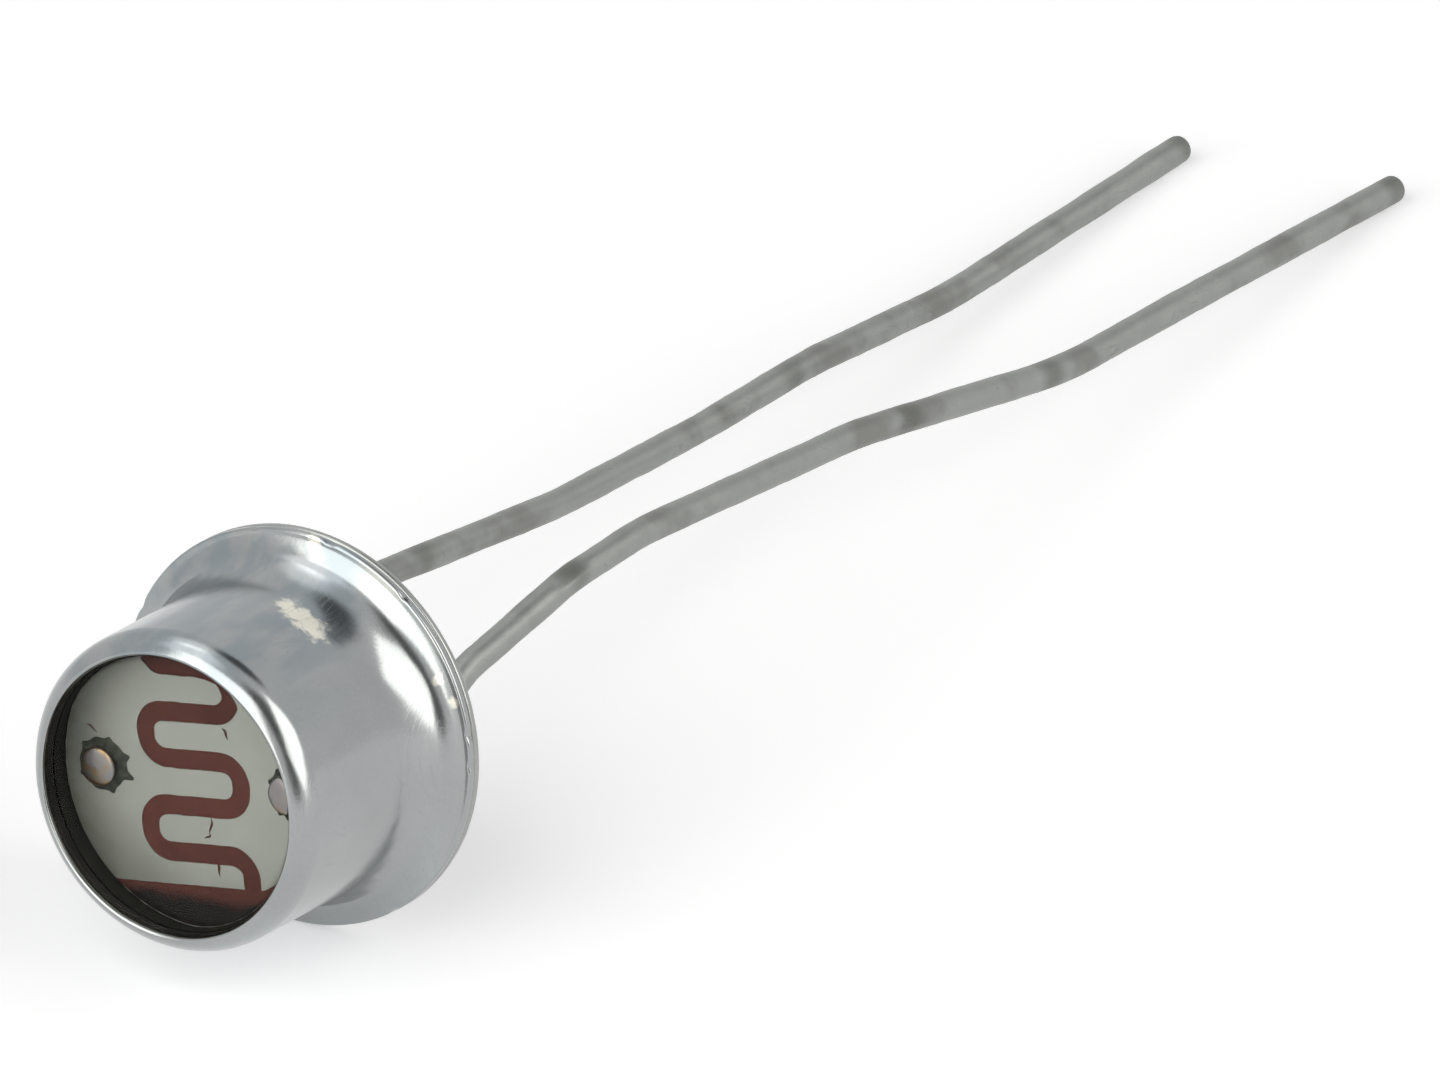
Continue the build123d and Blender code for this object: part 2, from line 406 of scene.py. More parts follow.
coat = {"Coat_Weight": 0.6, "Coat_Roughness": 0.04}
seal_glass, shader, place = new_material("seal_glass", Roughness=0.07, IOR=1.52, **coat)
cloud = noise_of(place, 1.4, 4.0)
murk = tinted(between(cloud, 0.3, 0.7), (0.018, 0.028, 0.026), (0.05, 0.07, 0.062))
seeds = add(place.id_data, "ShaderNodeTexVoronoi", {"Vector": place, "Scale": 7.0}).outputs["Distance"]
speck = product(faded(seeds, 0.04, 0.11), 0.5)
link_inputs(shader, Base_Color=tinted(speck, murk, (0.16, 0.19, 0.18)))


def geometry_tree(name, **inputs):
    """An empty geometry node tree with named inputs of each kind, and its first and last node."""
    tree = bpy.data.node_groups.new(name, "GeometryNodeTree")
    add_sockets(tree, "OUTPUT", Geometry=["Geometry"])
    add_sockets(tree, "INPUT", Geometry=["Geometry"], **inputs)
    return tree, add(tree, "NodeGroupInput").outputs, add(tree, "NodeGroupOutput").inputs


def grown(name, base, tree, values):
    """The plain mesh that a geometry node tree makes of the base mesh, as an object of its own."""
    host = linked(name + "_host", base)
    modifier = host.modifiers.new("tree", "NODES")
    modifier.node_group = tree
    for item in tree.interface.items_tree:
        if item.in_out == "INPUT" and item.name in values:
            modifier[item.identifier] = values[item.name]
    ready = host.evaluated_get(bpy.context.evaluated_depsgraph_get())
    mesh = bpy.data.meshes.new_from_object(ready)
    mesh.name = name
    bpy.data.objects.remove(host)
    return linked(name, mesh)


def end_tree(tree, geometry, material, output):
    """The last nodes of a geometry node tree: plain meshes in one material."""
    real = node(tree, "GeometryNodeRealizeInstances", {0: geometry})
    finished = node(tree, "GeometryNodeSetMaterial", {"Geometry": real, "Material": material})
    tree.links.new(finished, output)


def vector_of(operation, first, second=(0, 0, 0)):
    return node(first.id_data, "ShaderNodeVectorMath", {0: first, 1: second}, operation=operation)


def value_of(operation, first, second=(0, 0, 0)):
    """The number that a vector operation gives, such as a distance."""
    made = add(first.id_data, "ShaderNodeVectorMath", {0: first, 1: second}, operation=operation)
    return made.outputs["Value"]


# Seeds show as low blisters, scattered over the glass's back face
seeded, seed_in, seed_out = geometry_tree(
    "seeded_glass",
    Float=["Density", "Smallest", "Largest"],
    Vector=["Facing"],
    Int=["Seed"],
    Material=["Material"],
)
tree = seeded
facing = value_of("DOT_PRODUCT", node(tree, "GeometryNodeInputNormal"), seed_in["Facing"])
is_back = node(tree, "FunctionNodeCompare", {0: facing, 1: straight_back}, operation="GREATER_THAN")
inputs = {"Mesh": seed_in["Geometry"], "Selection": is_back, "Density": seed_in["Density"]}
scatter = add(tree, "GeometryNodeDistributePointsOnFaces", {**inputs, "Seed": seed_in["Seed"]}).outputs
inputs = {2: seed_in["Smallest"], 3: seed_in["Largest"], "Seed": seed_in["Seed"]}
size = add(tree, "FunctionNodeRandomValue", inputs, data_type="FLOAT").outputs[1]
blister = node(tree, "GeometryNodeMeshIcoSphere", {"Radius": 1.0, "Subdivisions": 2})
height = product(size, seed_flatness)
flat_size = node(tree, "ShaderNodeCombineXYZ", {0: size, 1: size, 2: height})
inputs = {"Points": scatter[0], "Instance": blister, "Rotation": scatter["Rotation"], "Scale": flat_size}
blisters = node(tree, "GeometryNodeInstanceOnPoints", inputs)
joined = add(tree, "GeometryNodeJoinGeometry")
tree.links.new(blisters, joined.inputs[0])
tree.links.new(seed_in["Geometry"], joined.inputs[0])
end_tree(tree, joined.outputs[0], seed_in["Material"], seed_out[0])

seal_values = {
    "Density": seed_count / (pi * (seal_radius * mm) ** 2),
    "Smallest": 0.008 * mm,
    "Largest": 0.035 * mm,
    "Facing": -can_out,
    "Seed": 7,
    "Material": seal_glass,
}
seal = grown("header_glass_dressed", plain_mesh("plain_seal", seal_shape), seeded, seal_values)
seal.data.shade_smooth()
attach(seal, "root")
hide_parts("header_glass")

# Leads
# Two soft nickel-iron wires, tinned by dipping, which leaves them dull and a little lumpy. Each starts in a
# nail head above the film, runs straight through the seal and then wanders, bent by hand, down to the floor.
head_top = 2.70
head_radius = 0.275
head_thickness = 0.08
head_dome = 0.035
head_roughness = 0.34
pin_exit = 0.6
tip_dome = 0.13
point_radius = 0.002
wire_sides = 28
wire_step = 0.07
corner_steps = 12
grain_fineness = 6.0
lead_routes = {
    "left": [(4.01, 1.565, 2.81), (8.83, 1.67, 1.83), (12.50, 1.75, 1.37)]
    + [(15.33, 1.82, 1.13), (18.97, 1.90, 0.55)],
    "right": [(1.97, -1.46, 3.27), (4.46, -1.43, 3.51), (6.27, -1.40, 3.43), (11.80, -1.33, 2.51)]
    + [(16.97, -1.25, 1.18), (20.03, -1.21, 0.86)],
}
lead_tips = {"left": (25.12, 2.03), "right": (25.73, -1.13)}
# How wide each bend is, from the header to the tip
bend_radii = {"left": [2.5, 2.5, 12, 12, 12, 12], "right": [2.5, 2.5, 2.5, 9, 12, 12, 12]}
# The routes are measured along X from where the flange touches the floor
flange_contact = Vector((seat.x - flange_radius * mm * sin(tilt), 0, 0))


def corner_arc(corner, arriving, leaving, turn, radius):
    """Points of the arc that rounds off a corner, touching the runs on both sides of it."""
    inward = (leaving - arriving * arriving.dot(leaving)).normalized()
    start = corner - arriving * radius * tan(turn / 2)
    angles = [turn * i / corner_steps for i in range(corner_steps + 1)]
    return [start + inward * radius * (1 - cos(a)) + arriving * radius * sin(a) for a in angles]


def bent_wire(corners, radii):
    """Points along straight runs joined by tangent arcs."""
    points = [corners[0]]
    for before, corner, after, radius in zip(corners, corners[1:], corners[2:], radii):
        arriving, leaving = (corner - before).normalized(), (after - corner).normalized()
        points += corner_arc(corner, arriving, leaving, arriving.angle(leaving), radius)
    return points + corners[-1:]


def wire_stations(points):
    """Evenly spaced points along the wire, closer at its ends, each with its distance from both ends."""
    lengths = [0.0]
    for a, b in zip(points, points[1:]):
        lengths.append(lengths[-1] + (b - a).length)
    total = lengths[-1]
    fine = [0.0, 0.0012, 0.005, 0.011, 0.019, 0.029, 0.04, 0.052, 0.066, 0.08, 0.083, 0.087, 0.1, 0.13]
    even = [0.2 + wire_step * i for i in range(int((total / mm - 0.4) / wire_step))]
    at = [s * mm for s in fine + even] + [total - s * mm for s in reversed(fine)]
    stations = []
    k = 0
    for s in at:
        while lengths[k + 1] < s and k < len(lengths) - 2:
            k += 1
        share = (s - lengths[k]) / (lengths[k + 1] - lengths[k])
        stations.append((points[k].lerp(points[k + 1], share), s / mm, (total - s) / mm))
    return stations


def wire_thickness(from_head, from_tip):
    """The wire's radius in millimetres: a low-domed nail head, the shank and a rounded tip."""
    if from_head < head_thickness:
        rise = min(from_head / head_dome, 1)
        return max(head_radius * sqrt(1 - (1 - rise) ** 2), point_radius)
    if from_tip < tip_dome:
        return max(lead_radius * sqrt(1 - (1 - from_tip / tip_dome) ** 2), point_radius)
    return lead_radius


marks = ["Mark 1", "Mark 2"]
drawn_wire, wire_in, wire_out = geometry_tree(
    "drawn_wire",
    Int=["Sides"],
    Float=["Lump height", "Lump length", "Grain height", "Mark length", *(mark + " depth" for mark in marks)],
    Vector=[mark + part for mark in marks for part in (" place", " side")],
    Material=["Material"],
)
tree = drawn_wire
line = node(tree, "GeometryNodeMeshToCurve", {"Mesh": wire_in["Geometry"]})
thickness = node(tree, "GeometryNodeInputNamedAttribute", {"Name": "thickness"}, data_type="FLOAT")
centre_held = add(tree, "GeometryNodeCaptureAttribute", {"Geometry": line}, domain="POINT")
centre_held.capture_items.new("VECTOR", "Centre")
tree.links.new(node(tree, "GeometryNodeInputPosition"), centre_held.inputs[1])
inputs = {"Resolution": wire_in["Sides"], "Radius": 1.0}
wire_round = node(tree, "GeometryNodeCurvePrimitiveCircle", inputs)
inputs = {"Curve": centre_held.outputs[0], "Profile Curve": wire_round, "Scale": thickness, "Fill Caps": True}
swept = node(tree, "GeometryNodeCurveToMesh", inputs)
centre = centre_held.outputs[1]


def from_centre():
    """Each point's way out from the middle of the wire, where the steps before have left it."""
    return vector_of("SUBTRACT", node(drawn_wire, "GeometryNodeInputPosition"), centre)


def moved(geometry, way, distance):
    inputs = {0: way, "Scale": distance}
    shift = node(drawn_wire, "ShaderNodeVectorMath", inputs, operation="SCALE")
    return node(drawn_wire, "GeometryNodeSetPosition", {"Geometry": geometry, "Offset": shift})


def uneven(scale, detail, rise):
    """A noise over the wire, around 0, that reaches up to half the rise."""
    spot = node(drawn_wire, "GeometryNodeInputPosition")
    return product(less(noise_of(spot, scale, detail), 0.5), rise)


lump_scale = math_of("DIVIDE", 1.0, wire_in["Lump length"])
lumps = uneven(lump_scale, 1.0, wire_in["Lump height"])
grains = uneven(product(lump_scale, grain_fineness), 2.0, wire_in["Grain height"])
wire = moved(swept, vector_of("NORMALIZE", from_centre()), math_of("ADD", lumps, grains))
for mark in marks:
    distance = value_of("LENGTH", vector_of("SUBTRACT", centre, wire_in[mark + " place"]))
    weight = faded(math_of("DIVIDE", distance, wire_in["Mark length"]), 0.35, 1.0)
    along = value_of("DOT_PRODUCT", from_centre(), wire_in[mark + " side"])
    limit = less(lead_radius * mm, wire_in[mark + " depth"])
    over = larger(less(along, limit), 0.0)
    pressed = product(product(over, weight), -1.0)
    wire = moved(wire, wire_in[mark + " side"], pressed)
merged = node(tree, "GeometryNodeMergeByDistance", {"Geometry": wire, "Distance": 1e-8})
end_tree(tree, merged, wire_in["Material"], wire_out[0])

# Where each wire was pressed flat, from which side and how deep, and where dirt has caught
wire_marks = {
    "left": [((5.25, 1.59, 2.56), (0.0, -0.8, 0.6), 0.015), ((14.65, 1.80, 1.19), (-0.4, -0.7, 0.5), 0.03)],
    "right": [((4.46, -1.43, 3.51), (-0.5, -0.3, 0.8), 0.07)]
    + [((12.86, -1.31, 2.24), (-0.4, -0.7, -0.5), 0.03)],
}
wire_dirt = [(5.3, 1.59, 2.6), (14.65, 1.80, 1.15), (25.0, 2.03, 0.3), (4.5, -1.43, 3.6)]
wire_dirt += [(12.86, -1.40, 2.2), (16.47, -1.30, 1.31), (25.5, -1.13, 0.35)]


def wire_wear(place, surface, rough):
    """Dirt on the shank. The nail head inside the can stayed clean and bright, and warm on one side."""
    inside = between(along_axis(place, 2), 2.2, 2.4)
    warm = between(noise_of(place, 3.5), 0.42, 0.6)
    clean = tinted(warm, (0.27, 0.25, 0.255), (0.33, 0.215, 0.11))
    mottle = noise_of(place, 0.9, 3.0)
    stained = tinted(between(mottle, 0.48, 0.66), surface, (0.225, 0.23, 0.215))
    dirt = 0.0
    for spot in wire_dirt:
        spot = can_place.inverted() @ (flange_contact + Vector(spot) * mm)
        away = less(value_of("DISTANCE", place, spot), spread(mottle, -0.1, 0.2))
        dirt = larger(dirt, faded(away, 0.05, 0.4))
    stained = tinted(product(dirt, 0.6), stained, (0.11, 0.115, 0.10))
    return tinted(inside, stained, clean), mixed(inside, rough, head_roughness)


shank_wear = {"Smudge size": 0.5, "Grain size": 0.06, "Scratches": 0.9}
tinned = metal("tinned_wire", (0.31, 0.32, 0.305), (0.36, 0.58), shank_wear, bump=3.0, patches=wire_wear)
for side, pin in zip(("left", "right"), pins):
    corners = [can_place @ Vector((*pin, head_top)), can_place @ Vector((*pin, -pin_exit))]
    corners += [flange_contact + Vector(bend) * mm for bend in lead_routes[side]]
    corners.append(flange_contact + Vector((*lead_tips[side], lead_radius)) * mm)
    stations = wire_stations(bent_wire(corners, [radius * mm for radius in bend_radii[side]]))
    spine = bpy.data.meshes.new(side + "_spine")
    spine.from_pydata([s[0] for s in stations], [(i, i + 1) for i in range(len(stations) - 1)], [])
    spine.attributes.new("thickness", "FLOAT", "POINT")
    spine.attributes["thickness"].data.foreach_set("value", [wire_thickness(*s[1:]) * mm for s in stations])
    values = {
        "Sides": wire_sides,
        "Lump height": 0.03 * mm,
        "Lump length": 0.9 * mm,
        "Grain height": 0.012 * mm,
        "Mark length": 0.55 * mm,
        "Material": tinned,
    }
    for mark, (spot, press, depth) in zip(marks, wire_marks[side]):
        values[mark + " place"] = flange_contact + Vector(spot) * mm
        values[mark + " side"] = Vector(press).normalized()
        values[mark + " depth"] = depth * mm
    lead = grown(f"lead_{side}_dressed", spine, drawn_wire, values)
    lead.data.shade_smooth()
    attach(lead, "root")
    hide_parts(f"lead_{side}")

# Cement and ceramic substrate
# A pressed alumina disc with a hole for each lead, held on the header by a bed of cement. Both solids have
# the true shape already, so they only get a finish: chalky cement and fine unglazed ceramic.
def powdery(name, light, dark, grain, roughness):
    """A matt mineral surface with cloudy colour and a fine grain."""
    material, shader, place = new_material(name, Roughness=roughness)
    specks = noise_of(place, 1 / grain)
    link_inputs(shader, Base_Color=tinted(product(noise_of(place, 1.2, 5.0), specks), light, dark))
    add_relief(shader, specks, grain * mm * 0.1, 0.6)
    return material


cement_finish = powdery("cement_finish", (0.62, 0.58, 0.49), (0.42, 0.38, 0.31), 0.05, 0.85)
ceramic_finish = powdery("ceramic_finish", (0.78, 0.77, 0.72), (0.6, 0.58, 0.52), 0.03, 0.65)
for name, finish in (("substrate_cement", cement_finish), ("ceramic_substrate", ceramic_finish)):
    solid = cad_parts[name]
    solid.data.materials.clear()
    solid.data.materials.append(finish)

# Photoconductive film
# A thin sintered layer of cadmium sulphide over the whole face of the disc, red-brown and matt. It shows as
# the winding track between the electrodes, along the top and as a bare segment at the bottom.
film_radius = 2.06
film_low = 2.48
film_high = 2.50
hole_radius = 0.23
film_shape = plate(*disc(film_radius, hole_radius), lambda p: film_low, lambda p: film_high)
film_finish, shader, place = new_material("film_finish", Roughness=0.75, Specular_IOR_Level=0.1)
cloud = noise_of(place, 2.2, 4.0)
specks = noise_of(place, 24.0)
film_color = tinted(between(cloud, 0.3, 0.7), (0.098, 0.031, 0.026), (0.135, 0.044, 0.036))
film_color = tinted(between(specks, 0.55, 0.8), film_color, (0.09, 0.035, 0.03))
# Painted shadow: the film's lowest part is darkened to near black, standing in for the shadow of the cap's
# rim
depth = product(along_axis(place, 1), -1.0)
painted_rim_shadow = between(math_of("ADD", depth, product(cloud, 0.25)), 1.66, 1.88)
link_inputs(shader, Base_Color=tinted(painted_rim_shadow, film_color, (0.012, 0.010, 0.009)))
add_relief(shader, specks, 1e-6, 0.2)
film = laid_in_place("photoconductor_dressed", film_shape, film_finish)
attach(film, "root")
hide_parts("photoconductor")

# Electrodes
# Two combs of pale metal evaporated through a mask, so their edges are slightly soft and ragged. The track
# between them winds down the middle, and a few cracks in the metal let the film show.
track_width = 0.28
track_pitch = 0.66
track_turn = 0.3
track_left = -0.67
track_low_left = -0.77
track_right = 0.79
metal_top = 1.505
metal_bottom = -1.445
bare_end = -0.6
bare_corner = 0.3
pattern_turn = radians(3.5)
pattern_drop = 0.01
metal_high = 2.52
metal_margin = 0.012
raggedness = 0.010
ragged_scale = 7
track_step = 0.03
edge_step = 0.05
cracks = [
    ((0.26, -0.46), (0.24, -0.70), 0.020),
    ((0.24, -0.68), (0.15, -0.79), 0.018),
    ((0.29, -1.06), (0.37, -1.28), 0.024),
    ((0.53, 0.84), (0.64, 0.70), 0.024),
    ((-1.69, 0.60), (-1.50, 0.53), 0.018),
]
# Printed a little below the pins and slightly turned
pattern_place = Matrix.Translation((0, -pattern_drop, 0)) @ Matrix.Rotation(pattern_turn, 4, "Z")


def rounded(corners, radii):
    """A flat outline with rounded corners, which stay sharp where the radius is 0."""
    corners = [Vector(corner) for corner in corners]
    points = []
    before_each, after_each = corners[-1:] + corners, corners[1:] + corners[:1]
    for before, corner, after, radius in zip(before_each, corners, after_each, radii):
        if radius == 0:
            points.append(corner)
            continue
        arriving, leaving = (corner - before).normalized(), (after - corner).normalized()
        turn = abs(arriving.angle_signed(leaving))
        points += corner_arc(corner, arriving, leaving, turn, radius)
    return points


def evenly(points, step, closed):
    """Points a step apart along a flat line."""
    path = points + points[:1] if closed else points
    even = []
    for a, b in zip(path, path[1:]):
        pieces = max(1, round((b - a).length / step))
        even += [a.lerp(b, i / pieces) for i in range(pieces)]
    return even if closed else even + [path[-1]]


def printed(points):
    return [(pattern_place @ p.to_3d()).to_2d() for p in points]


def ragged(p):
    """A small uneven shift of the mask's edge."""
    near = p.to_3d() * ragged_scale
    return Vector((noise.noise(near), noise.noise(near + Vector((31, 17, 5))))) * raggedness


rows = [1.5, 0.5, -0.5, -1.5]
bends = [(track_right, metal_top + track_width)]
turns = [track_right, track_left, track_right, track_low_left, track_right]
for row, start, end in zip(rows, turns, turns[1:]):
    bends += [(start, row * track_pitch), (end, row * track_pitch)]
bends.append((track_right, metal_bottom - track_width))
track = evenly(printed(rounded(bends, [0, *[track_turn] * (len(bends) - 2), 0])), track_step, False)
reach = film_radius + 0.2
corners = [(-reach, metal_bottom), (reach, metal_bottom), (reach, metal_top), (bare_end, metal_top)]
corners += [(bare_end, reach), (-reach, reach)]
metal_edge = evenly(printed(rounded(corners, [0, 0, 0, bare_corner, 0, 0])), edge_step, True)
ways = [(b - a).normalized() for a, b in zip(track[:1] + track[:-1], track[1:] + track[-1:])]
normals = [Vector((-way.y, way.x)) for way in ways]
banks = [[p + n * side * track_width / 2 for p, n in zip(track, normals)] for side in (1, -1)]
channel = [p + ragged(p) for p in banks[0] + banks[1][::-1]]
metal_edge = [p + ragged(p) for p in metal_edge]
left_side = track + [Vector((-3, track[-1].y)), Vector((-3, track[0].y))]


def within(p, loop):
    """Whether a point lies inside a closed loop."""
    crossings = False
    for a, b in zip(loop, loop[1:] + loop[:1]):
        if (a.y > p.y) != (b.y > p.y) and p.x < a.x + (b.x - a.x) * (p.y - a.y) / (b.y - a.y):
            crossings = not crossings
    return crossings


def crack_loop(start, end, width):
    """A thin lens between two points, a little crooked."""
    a, b = Vector(start), Vector(end)
    side = Vector((a.y - b.y, b.x - a.x)).normalized()
    steps = [i / 10 for i in range(11)]
    widths = [width * sin(pi * min(max(s, 0.06), 0.94)) for s in steps]
    sway = [side * 0.02 * sin(5 * s) for s in steps]
    near = [a.lerp(b, s) + w + side * t for s, t, w in zip(steps, widths, sway)]
    far = [a.lerp(b, s) + w - side * t for s, t, w in zip(steps, widths, sway)]
    return near + far[::-1]


crack_loops = [crack_loop(*crack) for crack in cracks]
disc_edge = [p + ragged(p) for p in ring_points((0, 0), film_radius - metal_margin, 240)]
evaporated, shader, place = new_material("evaporated_metal", Metallic=0.6, Specular_IOR_Level=0.2)
film_wear = handled(place, {"Smudge size": 0.8, "Grain size": 0.02, "Scratches": 0.35})
stain = noise_of(place, 2.6, 5.0)
radius = value_of("LENGTH", vector_of("MULTIPLY", place, (1, 1, 0)))
rim = product(between(radius, 1.45, 2.0), between(stain, 0.35, 0.75))
stained = product(between(stain, 0.5, 0.8), 0.35)
film_tone = tinted(stained, (0.40, 0.403, 0.372), (0.33, 0.33, 0.295))
film_tone = tinted(product(rim, 0.5), film_tone, (0.25, 0.245, 0.19))
rough = spread(film_wear["Dull"], 0.38, 0.55)
link_inputs(shader, Base_Color=shaded(film_tone, film_wear["Tone"]), Roughness=rough)
add_relief(shader, film_wear["Height"], 1.5e-6)

for side, pin, keep_left in (("left", pins[0], True), ("right", pins[1], False)):

    def in_electrode(p):
        on_metal = within(p, metal_edge) and within(p, disc_edge) and (p - pin).length >= hole_radius
        cut_away = any(within(p, loop) for loop in (channel, *crack_loops))
        return on_metal and not cut_away and within(p, left_side) == keep_left

    loops = [disc_edge, metal_edge, channel, ring_points(pin, hole_radius, 64), *crack_loops]
    shape = plate(loops, in_electrode, lambda p: film_high, lambda p: metal_high)
    electrode = laid_in_place(f"electrode_{side}_dressed", shape, evaporated)
    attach(electrode, "root")
    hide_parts(f"electrode_{side}")

# Bonds
# A dab of dark conductive cement round each nail head joins lead and electrode. It was brushed on wet, so
# its edge is jagged, with short spikes, and it rises a little towards the wire.
bond_radius = 0.38
bond_off_centre = {"left": (0.0, 0.0), "right": (0.06, 0.0)}
bond_rise = 0.055
bond_edge = 0.001
bond_sides = 144
bond_shares = [1.0, 0.93, 0.8, 0.62, 0.42, 0.2, 0.0]
spike_width = radians(7)
bond_spikes = {
    "left": [(20, 0.09), (-18, 0.13), (72, 0.04), (-70, 0.05), (140, 0.04), (205, 0.05)],
    "right": [(40, 0.06), (-35, 0.07), (100, 0.04), (165, 0.05), (230, 0.07)],
}

conductive_cement, shader, place = new_material("conductive_cement", Roughness=0.7, Specular_IOR_Level=0.2)
lumps = noise_of(place, 9.0, 4.0)
cement_color = tinted(between(lumps, 0.35, 0.7), (0.028, 0.032, 0.024), (0.075, 0.08, 0.062))
link_inputs(shader, Base_Color=cement_color)
add_relief(shader, lumps, 1.2e-5, 0.8)

for side, pin in zip(("left", "right"), pins):
    dab = bmesh.new()
    middle = pin + Vector(bond_off_centre[side])
    rings = []
    for share in bond_shares:
        ring = []
        for i in range(bond_sides):
            a = tau * i / bond_sides
            way = Vector((cos(a), sin(a)))
            edge = bond_radius + 0.028 * noise.noise(Vector((cos(a) * 2.2, sin(a) * 2.2, pin.x)))
            for at, length in bond_spikes[side]:
                away = (a - radians(at) + pi) % tau - pi
                edge += length * exp(-((away / spike_width) ** 2))
            spot = (pin + way * collar).lerp(middle + way * edge, share)
            lift = bond_rise * (1 - share ** 1.6) * (1 + 0.25 * noise.noise((spot * 6).to_3d()))
            ring.append(dab.verts.new((*spot, metal_high + bond_edge + lift)))
        rings.append(ring)
    for base in (rings[-1], rings[0]):
        rings.append([dab.verts.new((v.co.x, v.co.y, metal_high)) for v in base])
    skin(dab, rings)
    bmesh.ops.recalc_face_normals(dab, faces=dab.faces)
    bond = laid_in_place(f"bond_{side}_dressed", dab, conductive_cement)
    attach(bond, "root")
    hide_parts(f"bond_{side}")

# Cap
# Drawn from steel sheet in one piece with its flange and the turned-in lip round the window, and nickel
# plated. Inside it is black with oxide from fusing the glass. Handling has left nicks and one dent. A
# blue-grey reflection and bright highlights are painted on its plating.
can_radius = 2.26
can_height = 3.46
can_wall = 0.15
cap_flange = 0.12
shoulder_radius = 0.46
flat_rim = 0.03
base_start = radians(11)
base_break = radians(60)
flare_radius = 1.25
window_radius = 1.98
lip_edge = 0.04
lip_under = 0.03
inner_base = 0.07
flange_low = header_flange
flange_high = header_flange + cap_flange
bore_radius = can_radius - can_wall
shoulder = (can_radius - shoulder_radius, can_height - shoulder_radius)
# The flange starts to sweep up at its rim, turns up in a narrow round and runs into the wall in a wide flare
sines = sin(base_start), sin(base_break)
base_radius = (flange_edge - flat_rim - can_radius - flare_radius * (1 - sines[1])) / (sines[1] - sines[0])
base_middle = flange_high + base_radius * cos(base_start)
base_centre = (flange_edge - flat_rim + base_radius * sines[0], base_middle)
flare_middle = base_middle + (flare_radius - base_radius) * cos(base_break)
flare_centre = (can_radius + flare_radius, flare_middle)
start_turn, break_turn = 270 - degrees(base_start), 270 - degrees(base_break)
inner_shoulder = shoulder_radius - can_wall


def lip_round(reach, edge):
    """Centre of a small round against the window's edge, at that distance from the shoulder's centre."""
    across = window_radius + edge - shoulder[0]
    return (window_radius + edge, shoulder[1] + sqrt(reach ** 2 - across ** 2))


def angle_from_shoulder(point):
    return degrees(atan2(point[1] - shoulder[1], point[0] - shoulder[0]))


lip_front = lip_round(shoulder_radius - lip_edge, lip_edge)
lip_back = lip_round(inner_shoulder + lip_under, lip_under)
front_turn, back_turn = angle_from_shoulder(lip_front), angle_from_shoulder(lip_back)
cap_outline = divided(
    arc((bore_radius + inner_base, flange_low + inner_base), inner_base, 180, 270, 5)
    + arc((flange_edge, flange_low + sheet_edge), sheet_edge, -90, 0, 5)
    + arc((flange_edge, flange_high - sheet_edge), sheet_edge, 0, 90, 6)
    + arc(base_centre, base_radius, start_turn, break_turn, 20)
    + arc(flare_centre, flare_radius, break_turn, 180, 14)[1:]
    + arc(shoulder, shoulder_radius, 0, front_turn, 28)
    + arc(lip_front, lip_edge, front_turn, 180, 8)[1:]
    + arc(lip_back, lip_under, 180, 180 + back_turn, 6)
    + arc(shoulder, inner_shoulder, back_turn, 0, 16)[1:]
)
# One dent in the wall: can angle, height, reach and depth
dent_angle, dent_height, dent_reach, dent_depth = 53, 1.36, 0.30, 0.05
# Nicks on the flange's rim and front face: can angle, radius, height, reach and depth
nicks = [
    (5, 2.80, 0.22, 0.07, 0.035),
    (-4, 2.79, 0.23, 0.06, 0.030),
    (48, 2.80, 0.21, 0.06, 0.025),
    (75, 2.80, 0.20, 0.09, 0.030),
    (100, 2.80, 0.23, 0.05, 0.020),
    (150, 2.80, 0.20, 0.08, 0.025),
    (235, 2.80, 0.22, 0.06, 0.025),
    (-60, 2.80, 0.22, 0.08, 0.030),
]


def can_spot(angle, radius, height):
    return Vector((radius * cos(radians(angle)), radius * sin(radians(angle)), height))


nick_spots = [(can_spot(*nick[:3]), *nick[3:]) for nick in nicks]


def cap_ripple(radius, height, angle):
    """The drawn sheet's unevenness, less the nicks and one shallow dent near the flange."""
    spot = Vector((radius * cos(angle), radius * sin(angle), height))
    out = sheet_ripple(radius, height, angle)
    if radius > bore_radius + 0.01:
        across = can_radius * radians((degrees(angle) - dent_angle + 180) % 360 - 180)
        out -= dent_depth * exp(-(across ** 2 + (height - dent_height) ** 2) / dent_reach ** 2)
    for place, reach, depth in nick_spots:
        out -= depth * exp(-(((spot - place).length / reach) ** 2))
    return out


cap_shape = lathe(cap_outline, sides=384, ripple=cap_ripple)
for face in cap_shape.faces:
    middle = face.calc_center_median()
    across = hypot(middle.x, middle.y)
    inside_wall = across < bore_radius + 0.02 and middle.z < shoulder[1]
    off_shoulder = hypot(across - shoulder[0], middle.z - shoulder[1])
    under_roof = middle.z >= shoulder[1] and off_shoulder < inner_shoulder + 0.01
    face.material_index = 1 if inside_wall or under_roof else 0


# Where bright highlights are painted on the plating, and where it is stained dark: can angle, radius, height
# and reach
painted_highlights = [(72, 2.26, 1.28, 0.15), (66, 2.26, 1.34, 0.22), (60, 2.26, 1.40, 0.27)]
painted_highlights += [(80, 2.74, 0.25, 0.13), (23, 2.62, 0.3, 0.08), (15, 2.70, 0.25, 0.07), (60, 2.38, 0.4, 0.07)]
stains = [(-3.5, 2.3, 0.42, 0.045)]


def near_any(place, spots, edge):
    """1 inside any of the spots, with an edge broken by a noise."""
    inside = 0.0
    for angle, radius, height, reach in spots:
        away = value_of("DISTANCE", place, can_spot(angle, radius, height))
        away = math_of("ADD", away, product(edge, reach))
        inside = larger(inside, faded(away, reach * 0.45, reach * 1.25))
    return inside


